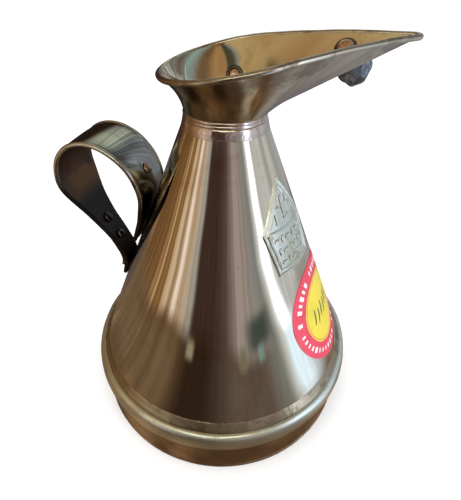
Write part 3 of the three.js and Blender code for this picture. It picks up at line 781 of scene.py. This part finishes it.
def ridge(d, middle, width):
    """A soft ridge, 1 where d is at its middle: exp(-((d - middle) / width)^2)."""
    return np.exp(-(((d - middle) / width) ** 2))


def bars(x, y, list_of_bars, soft=0.35):
    """Raised bars, each (x, y, half length, half height): 1 inside and 0 outside, soft-edged."""
    b = np.array(list_of_bars)[:, :, None, None]
    past_side = np.maximum(np.abs(x - b[:, 0]) - b[:, 2], 0)
    past_end = np.maximum(np.abs(y - b[:, 1]) - b[:, 3], 0)
    return (1 - smooth(np.hypot(past_side, past_end), 0, soft)).max(0)


# %% The stamped house
HOUSE = np.array([[13.5, 0], [0, 20], [-13.5, 0], [-11.5, -18], [11.5, -18]])
y = np.linspace(-18, 20, 240)[:, None]
half = np.where(y > 0, 13.5 * (1 - y / 20), 13.5 + 2 * y / 18)
x = np.linspace(-1, 1, 150)[None, :] * half
edge_run = np.roll(HOUSE, -1, 0) - HOUSE
edge_in = np.stack([-edge_run[:, 1], edge_run[:, 0]], -1) / np.linalg.norm(edge_run, axis=1)[:, None]
inset = np.min([(x - p[0]) * n[0] + (y - p[1]) * n[1] for p, n in zip(HOUSE, edge_in)], 0)
UPPER_FIELD = [
    (-5.0, 4.8, 0.55, 2.9), (-3.4, 7.4, 1.3, 0.45), (-0.6, 6.8, 0.5, 4.4), (1.4, 3.2, 0.9, 0.5),
    (4.6, 4.8, 0.55, 2.8), (2.6, 9.6, 0.5, 1.6),
]
LOWER_FIELD = [  # height of a row, and its bars as (x, half length, half height)
    (-4.0, [(-7.6, 1.0, 0.5), (-4.6, 0.5, 1.1), (-1.6, 1.3, 0.45),
            (1.6, 0.45, 1.2), (4.4, 0.9, 0.45), (7.4, 0.5, 1.1)]),
    (-8.6, [(-7.2, 0.45, 1.2), (-4.2, 1.3, 0.45), (-1.0, 0.5, 1.2),
            (1.8, 1.0, 0.5), (4.6, 0.45, 1.1), (7.2, 1.0, 0.45)]),
    (-13.0, [(-6.4, 1.1, 0.45), (-3.4, 0.45, 1.1), (-0.4, 1.2, 0.45), (2.8, 0.5, 1.1), (6.0, 1.1, 0.45)]),
]
lower_bars = [(at, row, long, tall) for row, marks in LOWER_FIELD for at, long, tall in marks]
strokes = bars(x, y, UPPER_FIELD + lower_bars)
inner = smooth(inset, 2.8, 3.4)
relief = 0.10 + 0.52 * ridge(inset, 1.0, 0.42) + 0.40 * ridge(inset, 2.7, 0.36)
relief += 0.38 * ridge(np.abs(y + 0.3), 0, 0.4) * smooth(inset, 2.2, 2.8) + 0.50 * strokes * inner
relief += 0.04 * ripple(np.stack([x, y + 0 * x, 0 * x], -1), 5, 101)
relief = relief * smooth(inset, 0, 0.7) - 0.05
mark_angle, mark_z = math.radians(-35), 101
top = on_cone(mark_angle, mark_z, x, y + 0 * x, relief)
under = on_cone(mark_angle, mark_z, x, y + 0 * x, -0.05)[:, ::-1]
mark_uv = np.stack([np.concatenate([x, x[:, ::-1], x[:, :1]], 1), np.repeat(y, 301, 1)], -1) * MM
build("stamped_mark", [woven(np.concatenate([top, under], 1), wrap_cols=True, uv=mark_uv)],
      hoop_brass, ["capacity_plate"])

# %% [markdown]
# ## Paper label
# A round sticker in two colours: a printed ring and a yellow middle with a thin printed line, over
# which someone has made a few strokes with a pen. The print is left generic: the ring carries plain
# dashes of uneven length. An image could carry the print, but nodes stay sharp at any size. Paper
# fibres, a faint gloss and lifted edges keep it from looking like plastic.

# %% The recipe for printed paper
def printed_paper(name, ground, second, ink_share):
    """Paper with a ground colour, mottled by fibres, and a second colour where ink_share(tree, u, v)
    is 1. u is the way round in turns, and v the distance from the middle in centimetres."""
    finish = bpy.data.materials.new(name)
    finish.use_nodes = True
    tree = finish.node_tree
    shader = tree.nodes["Principled BSDF"]
    shader.inputs["Coat Roughness"].default_value = 0.35
    where = place(tree, "TexCoord").outputs
    flat = place(tree, "SeparateXYZ", {0: place(tree, "UVMap", uv_map="pattern").outputs[0]}).outputs
    stains = use(tree, staining, {"Vector": where["Object"], "Size": 90.0, "Cover": 0.35})
    fibres = place(tree, "TexNoise", {"Vector": where["Object"], "Scale": 2600.0, "Detail": 3.0}).outputs[0]
    darker = tuple(c * 0.86 for c in ground)
    mottled = blend(tree, stains["Patches"], (*ground, 1), (*darker, 1))
    inked = blend(tree, ink_share(tree, flat[0], flat[1]), mottled, (*second, 1))
    shade = ramp(tree, fibres, 0.3, 0.7, 0.94, 1.0)
    tinted = place(tree, "VectorMath", {0: inked, "Scale": shade}, operation="SCALE").outputs[0]
    tree.links.new(tinted, shader.inputs["Base Color"])
    tree.links.new(ramp(tree, stains["Cloud"], 0.3, 0.7, 0.42, 0.6), shader.inputs["Roughness"])
    tree.links.new(ramp(tree, stains["Cloud"], 0.35, 0.65, 0.12, 0.3), shader.inputs["Coat Weight"])
    height = maths(tree, "MULTIPLY", fibres, 6e-6)
    relief = place(tree, "Bump", {"Strength": 1.0, "Distance": 1.0, "Height": height})
    tree.links.new(relief.outputs[0], shader.inputs["Normal"])
    return finish


def dashes(tree, u, v):
    """White dashes of uneven length round the middle of the ring, with some left out."""
    cell = maths(tree, "MULTIPLY", u, 42.0)
    number = maths(tree, "FLOOR", cell)
    chance = place(tree, "TexWhiteNoise", {"W": number}, noise_dimensions="1D").outputs[0]
    off_middle = maths(tree, "ABSOLUTE", maths(tree, "SUBTRACT", maths(tree, "FRACT", cell), 0.5))
    reach = maths(tree, "MULTIPLY_ADD", chance, 0.22, 0.1)
    wide = ramp(tree, maths(tree, "SUBTRACT", off_middle, reach), -0.02, 0.05, 1.0, 0.0)
    off_line = maths(tree, "ABSOLUTE", maths(tree, "SUBTRACT", v, 2.05))
    past_end = maths(tree, "SUBTRACT", off_line, maths(tree, "MULTIPLY", chance, 0.06))
    tall = ramp(tree, past_end, 0.07, 0.1, 1.0, 0.0)
    kept = maths(tree, "GREATER_THAN", chance, 0.16)
    return maths(tree, "MULTIPLY", maths(tree, "MULTIPLY", wide, tall), kept)


def printed_line(tree, u, v):
    """A thin line printed just inside the edge of the yellow middle."""
    return ramp(tree, maths(tree, "ABSOLUTE", maths(tree, "SUBTRACT", v, 1.56)), 0.02, 0.045, 1.0, 0.0)


ring_paper = printed_paper("printed_ring_paper", (0.72, 0.045, 0.09), (0.88, 0.82, 0.80), dashes)
disc_paper = printed_paper("printed_yellow_paper", (0.80, 0.66, 0.035), (0.72, 0.30, 0.05), printed_line)

# %% Ring and disc of the label
label_angle, label_z = math.radians(-20), 57


def round_patch(inner_r, outer_r, low, high, rings=14, steps=220):
    """A flat ring of paper laid on the cone: polar coordinates, then onto the slope. Its edge lifts
    a little here and there."""
    a = np.linspace(0, 2 * np.pi, steps + 1)[None, :]
    r = np.linspace(inner_r, outer_r, rings)[:, None]
    r = np.concatenate([r, r[::-1], r[:1]])
    a, r = np.broadcast_arrays(a, r)
    up_side = np.arange(len(r))[:, None] < rings
    x, y = r * np.cos(a), r * np.sin(a)
    lift = 0.05 * ripple(np.stack([x, y, 0 * x], -1), 9, 111) * smooth(r, outer_r - 5, outer_r)
    level = np.where(up_side, high + lift, low)
    points = on_cone(label_angle, label_z, x, y, level)[:-1, :-1]
    return woven(points, wrap_rows=True, wrap_cols=True, uv=np.stack([a / (2 * np.pi), r / 10], -1))


build("label_red_ring", [round_patch(16.4, 24.4, -0.05, 0.26)], ring_paper, ["label_ring"])
build("label_yellow_middle", [round_patch(0.0, 16.5, -0.05, 0.26)],
      disc_paper, ["label_disc"])

# %% [markdown]
# The pen strokes are ribbons of ink laid over the paper, side by side. They form no letters or
# figures: each is one plain, slightly bent stroke.

# %% Pen strokes
ink = bpy.data.materials.new("green_pen_ink")
ink.use_nodes = True
tree = ink.node_tree
shader = tree.nodes["Principled BSDF"]
where = place(tree, "TexCoord").outputs["Object"]
flow = place(tree, "TexNoise", {"Vector": where, "Scale": 900.0, "Detail": 3.0}).outputs[0]
wet = blend(tree, ramp(tree, flow, 0.35, 0.7), (0.006, 0.03, 0.012, 1), (0.03, 0.09, 0.03, 1))
tree.links.new(wet, shader.inputs["Base Color"])
tree.links.new(ramp(tree, flow, 0.3, 0.7, 0.35, 0.6), shader.inputs["Roughness"])

stroke_starts = [(-10.6, -2.8), (-7.2, -4.4), (-3.4, -3.0), (0.4, -4.8), (4.0, -3.6), (7.6, -4.0)]
stroke_marks = [[(x, y), (x + 1.5, y + 3.6), (x + 1.9, y + 7.6)] for x, y in stroke_starts]
ribbons = []
for marks in stroke_marks:
    line = curve_through(np.array(marks), 24)
    run = np.gradient(line, axis=0)
    side = np.stack([-run[:, 1], run[:, 0]], -1) / np.linalg.norm(run, axis=1)[:, None]
    along = np.linspace(0, np.pi, len(line))
    width = 0.55 * np.sqrt(np.clip(np.sin(along), 0.0, 1))
    shape = np.array([[-1, 0.24], [-0.7, 0.36], [0.7, 0.36], [1, 0.24]])
    spread = line[:, None] + side[:, None] * (width[:, None] * shape[:, 0])[..., None]
    level = shape[:, 1] + 0 * spread[..., 0]
    ribbon = on_cone(label_angle, label_z, spread[..., 0], spread[..., 1], level)
    ribbons.append(woven(ribbon, wrap_cols=True))
build("pen_strokes", ribbons, ink)

# %% [markdown]
# ## Floor and light
# The floor is pale and plain. A mirror-like cone shows its surroundings more than itself, so the
# surroundings matter as much as the lamps. In a studio, dark and bright cloths are hung round such a
# piece. Here one big tent does that: it is seen only in reflections, and is painted in upright bands.

# %% Floor
floor_finish = bpy.data.materials.new("pale_floor")
floor_finish.use_nodes = True
tree = floor_finish.node_tree
shader = tree.nodes["Principled BSDF"]
where = place(tree, "TexCoord").outputs["Object"]
grain = place(tree, "TexNoise", {"Vector": where, "Scale": 6.0, "Detail": 4.0}).outputs[0]
mottled = blend(tree, ramp(tree, grain, 0.3, 0.7), (0.93, 0.93, 0.93, 1), (0.96, 0.96, 0.96, 1))
tree.links.new(mottled, shader.inputs["Base Color"])
tree.links.new(ramp(tree, grain, 0.3, 0.7, 0.7, 0.8), shader.inputs["Roughness"])
shader.inputs["Specular IOR Level"].default_value = 0.1

side = np.linspace(-12, 12, 25)
floor_grid = np.stack([*np.meshgrid(side, side, indexing="ij"), np.zeros((25, 25))], -1)
floor_mesh = bpy.data.meshes.new("floor")
floor_mesh.from_pydata(floor_grid.reshape(-1, 3).tolist(), [], woven(floor_grid)["quads"][:, ::-1].tolist())
floor_mesh.materials.append(floor_finish)
floor = bpy.data.objects.new("floor", floor_mesh)
bpy.context.scene.collection.objects.link(floor)
floor.visible_glossy = False

# %% [markdown]
# The tent is hung with cloths of a few colours, each named for what polished brass shows in front of
# it. They go round from behind the handle, by way of the front, to the beak's side, in three rows: a
# middle one, a browner and darker low one, as a table top would be, and a high one that the funnel and
# the handle see. Dividing by the colour of brass gives the light that a cloth must send. A few soft
# patches stand for lamps and dark things in the room, and streaks and creases break up the bands. An
# image of a room could be used instead, but a few cloths show better what each one does.

# %% The cloths and where they hang
CLOTHS = {  # what polished brass should show in front of each cloth: red, green and blue, 0 to 255
    "soot": (46, 32, 21), "umber": (60, 43, 34), "plum": (80, 63, 56), "mole": (92, 78, 66),
    "olive": (70, 68, 50), "bark": (106, 84, 58), "walnut": (110, 78, 44), "bronze": (154, 120, 78),
    "straw": (170, 146, 100), "sand": (190, 166, 136), "taupe": (150, 136, 126), "slate": (122, 124, 116),
    "sea": (132, 154, 146), "stone": (154, 152, 142), "pale": (182, 182, 174), "sky": (226, 244, 248),
    "white": (250, 254, 255),
}
MIDDLE_BANDS = [  # direction in degrees (0 is the beak's side, -90 the front), and the cloth hung there
    (-200, "walnut"), (-180, "walnut"), (-170, "bronze"), (-160, "bronze"), (-150, "sand"),
    (-136, "sand"), (-123.5, "stone"), (-119.5, "umber"), (-100, "umber"), (-88, "plum"),
    (-74, "taupe"), (-66, "taupe"), (-50, "slate"), (-45, "pale"), (-40.5, "white"), (-31.5, "white"),
    (-27.5, "pale"), (-8, "pale"), (2, "stone"), (14, "pale"), (30, "stone"), (66, "stone"),
    (105, "soot"), (120, "soot"), (135, "umber"), (150, "walnut"), (160, "walnut"),
]
LOW_BANDS = [
    (-200, "bark"), (-134, "bark"), (-118, "soot"), (-104, "soot"), (-80, "mole"), (-56, "mole"),
    (-42, "slate"), (-37, "pale"), (-31, "sky"), (-22, "sky"), (-8, "stone"), (30, "stone"),
    (90, "plum"), (118, "soot"), (140, "plum"), (160, "bark"),
]
HIGH_BANDS = [
    (-200, "bark"), (-184, "bark"), (-179, "bronze"), (-150, "straw"), (-120, "straw"), (-108, "slate"),
    (-100, "olive"), (-84, "olive"), (-78, "bronze"), (-50, "bronze"), (-26, "bark"), (-10, "bark"),
    (5, "slate"), (24, "sea"), (42, "mole"), (52, "slate"), (75, "slate"), (100, "bark"), (160, "bark"),
]
PATCHES = [  # direction, height angle, half widths of both, and the light sent there
    (-56, -9.5, 12, 3.2, (0.06, 0.09, 0.10)),      # something dark, low at the front
    (-56, -13.5, 3.0, 1.8, (0.22, 0.36, 0.42)),    # three small bright things, lower still
    (-72, -13, 3, 2.5, (0.22, 0.24, 0.20)),
    (-118.5, -12.5, 3.5, 2.0, (0.36, 0.35, 0.30)),
    (-95, 37, 28, 6, (3.2, 3.4, 3.0)),             # two bright windows, high up
    (92, 42, 26, 12, (0.80, 0.88, 0.78)),
    (31, 21, 6, 7, (0.14, 0.12, 0.10)),            # three dark gaps between cloths
    (74, 2, 8, 5, (0.10, 0.06, 0.05)),
    (-167, 51.5, 3.5, 3.5, (0.14, 0.12, 0.09)),
]
BRASS_SEEN = np.array([0.80, 0.70, 0.50])


def light_from(bands, direction):
    """The light from a row of cloths at given directions: the shown colours blend from each cloth to
    the next, are made linear, and are divided by the colour of brass. White is lifted further."""
    at = [b[0] for b in bands]
    shown = np.array([CLOTHS[b[1]] for b in bands], float)
    c = np.stack([np.interp(direction, at, shown[:, k]) for k in range(3)], -1)
    light = np.where(c <= 10.3, c / 3295, ((c / 255 + 0.055) / 1.055) ** 2.4) / BRASS_SEEN
    return light * (1 + 0.9 * smooth(c.min(-1), 235, 252)[..., None])


# %% The tent's shape: a flat floor below a dome
TENT_R, SEEN_FROM_Z = 1.2, 0.075
low = np.linspace(0.0, TENT_R, 90) ** 1.6 / TENT_R**0.6
rise_angle = np.linspace(0, np.pi / 2, 60)[1:]
tent_r = np.concatenate([low, TENT_R * np.cos(rise_angle)])
tent_z = np.concatenate([0 * low - 0.002, TENT_R * np.sin(rise_angle)])
azimuth = np.linspace(-200, 160, 1441)
az = np.radians(azimuth)[:, None]
tent_points = np.stack([tent_r * np.cos(az), tent_r * np.sin(az), tent_z + 0 * az], -1)
rise = np.degrees(np.arctan2(tent_z - SEEN_FROM_Z, tent_r + 1e-6))[None]
way = azimuth[:, None]
print("tent:", tent_points.shape[:2], "points, as seen from", SEEN_FROM_Z, "m above the floor")

# %% The tent's paint
lean = 0.6 * np.maximum(-rise, 0) * smooth(way, -66, -50) * (1 - smooth(way, 0, 20))
middle = light_from(MIDDLE_BANDS, way - lean)
line = np.stack([azimuth, 0 * azimuth, 0 * azimuth], -1)
streaks = np.tanh(1.3 * ripple(line, 9, 201)) + 0.8 * np.tanh(1.5 * ripple(line, 3.5, 202))
left_side = smooth(azimuth, -205, -190) * (1 - smooth(azimuth, -150, -124)) + smooth(azimuth, 118, 130)
depth = (0.40 * streaks * left_side + 0.10 * np.tanh(ripple(line, 3, 203)))[:, None, None]
middle = middle * np.exp(depth * [0.9, 1.15, 1.6])
low_share = smooth(-rise - 5 * (1 - smooth(way, -170, -145)) - 3 * smooth(way, -84, -72), 8, 13)[..., None]
lowest = light_from(LOW_BANDS, way) * np.exp(0.3 * depth)
high_share = smooth(rise, 21, 36)[..., None]
paint = middle * (1 - low_share) + lowest * low_share
paint = paint * (1 - high_share) + light_from(HIGH_BANDS, way) * high_share
for spot, tall, half_way, half_tall, light in PATCHES:
    share = np.exp(-(((way - spot) / half_way) ** 4) - ((rise - tall) / half_tall) ** 4)[..., None]
    paint = paint * (1 - share) + share * np.array(light)
creases = smooth(way, 10, 26) * (1 - smooth(way, 88, 104))
creases = creases * smooth(rise, 4, 12) * (1 - smooth(rise, 44, 58))
paint *= np.exp(0.55 * np.tanh(1.6 * ripple(line, 3.2, 206))[:, None] * creases)[..., None]
close_by = 1 - smooth(tent_r, 0.095, 0.13)[None, :, None]
under_foot = np.array([0.20, 0.13, 0.08]) * np.exp(0.5 * np.tanh(ripple(line, 25, 205)))[:, None, None]
paint = paint * (1 - close_by) + under_foot * close_by

# %% The tent as a stage piece
tent_mesh = bpy.data.meshes.new("tent")
tent_sheet = woven(tent_points)
tent_mesh.from_pydata(tent_sheet["points"].tolist(), [], tent_sheet["quads"].tolist())
colours = tent_mesh.color_attributes.new("paint", "FLOAT_COLOR", "POINT")
opaque = np.concatenate([paint, np.ones(paint.shape[:2] + (1,))], -1)
colours.data.foreach_set("color", opaque.astype(np.float32).ravel())
tent_finish = bpy.data.materials.new("tent_cloth")
tent_finish.use_nodes = True
tree = tent_finish.node_tree
tree.nodes.clear()
paint_here = place(tree, "Attribute", attribute_name="paint").outputs["Color"]
cloth = place(tree, "Emission", {"Color": paint_here, "Strength": 1.0})
tree.links.new(cloth.outputs[0], place(tree, "OutputMaterial").inputs[0])
tent_mesh.materials.append(tent_finish)
tent = bpy.data.objects.new("tent", tent_mesh)
bpy.context.scene.collection.objects.link(tent)
for ray in ("camera", "diffuse", "transmission", "volume_scatter", "shadow"):
    setattr(tent, "visible_" + ray, False)
print("tent:", len(CLOTHS), "cloths and", len(PATCHES), "patches, brightest light", paint.max().round(2))

# %% Soft lamps and sky
world = bpy.data.worlds.new("soft_sky")
bpy.context.scene.world = world
world.use_nodes = True
world.node_tree.nodes["Background"].inputs["Color"].default_value = (1.0, 1.0, 1.0, 1)
world.node_tree.nodes["Background"].inputs["Strength"].default_value = 1.06


def soft_lamp(name, at, aim, size, power, tint):
    """A square lamp that looks at a point and isn't itself seen."""
    data = bpy.data.lights.new(name, "AREA")
    data.size, data.energy, data.color = size, power, tint
    lamp = bpy.data.objects.new(name, data)
    bpy.context.scene.collection.objects.link(lamp)
    lamp.location = at
    lamp.rotation_mode = "QUATERNION"
    lamp.rotation_quaternion = (Vector(aim) - Vector(at)).to_track_quat("-Z", "Y")
    lamp.visible_camera = False
    lamp.visible_glossy = False
    return lamp


soft_lamp("overhead", (-0.25, -0.2, 1.1), (0, 0, 0.05), 1.0, 5.0, (1.0, 0.98, 0.95))
soft_lamp("window_side", (0.8, -0.7, 0.7), (0, 0, 0.08), 0.6, 3.0, (0.94, 0.97, 1.0))

# %% [markdown]
# ## Camera
# The camera stands close, a little above the measure, and looks down at about forty degrees with a
# short lens. That is why the funnel looks large and the foot small. Its turn is worked out from three
# angles: pitch down, yaw towards the beak, and a slight roll.

# %% Camera
HOOP_R = 0.063
pitch, yaw, roll = 0.690, 0.023, 0.026
ahead = Vector((math.sin(yaw) * math.cos(pitch), math.cos(yaw) * math.cos(pitch), -math.sin(pitch)))
right = Vector((math.cos(yaw), -math.sin(yaw), 0))
above = right.cross(ahead)
cam_x = math.cos(roll) * right + math.sin(roll) * above
cam_y = -math.sin(roll) * right + math.cos(roll) * above
camera_data = bpy.data.cameras.new("camera")
camera_data.sensor_width, camera_data.lens = 36.0, 26.64
camera_data.clip_start, camera_data.clip_end = 0.01, 40
camera = bpy.data.objects.new("camera", camera_data)
bpy.context.scene.collection.objects.link(camera)
placed_at = Vector(AXIS) + Vector((0, -2.019, 2.851)) * HOOP_R
camera.matrix_world = Matrix.Translation(placed_at) @ Matrix((cam_x, cam_y, -ahead)).transposed().to_4x4()
bpy.context.scene.camera = camera
bpy.context.scene.view_settings.view_transform = "Standard"
print("camera at", [round(v, 4) for v in placed_at])
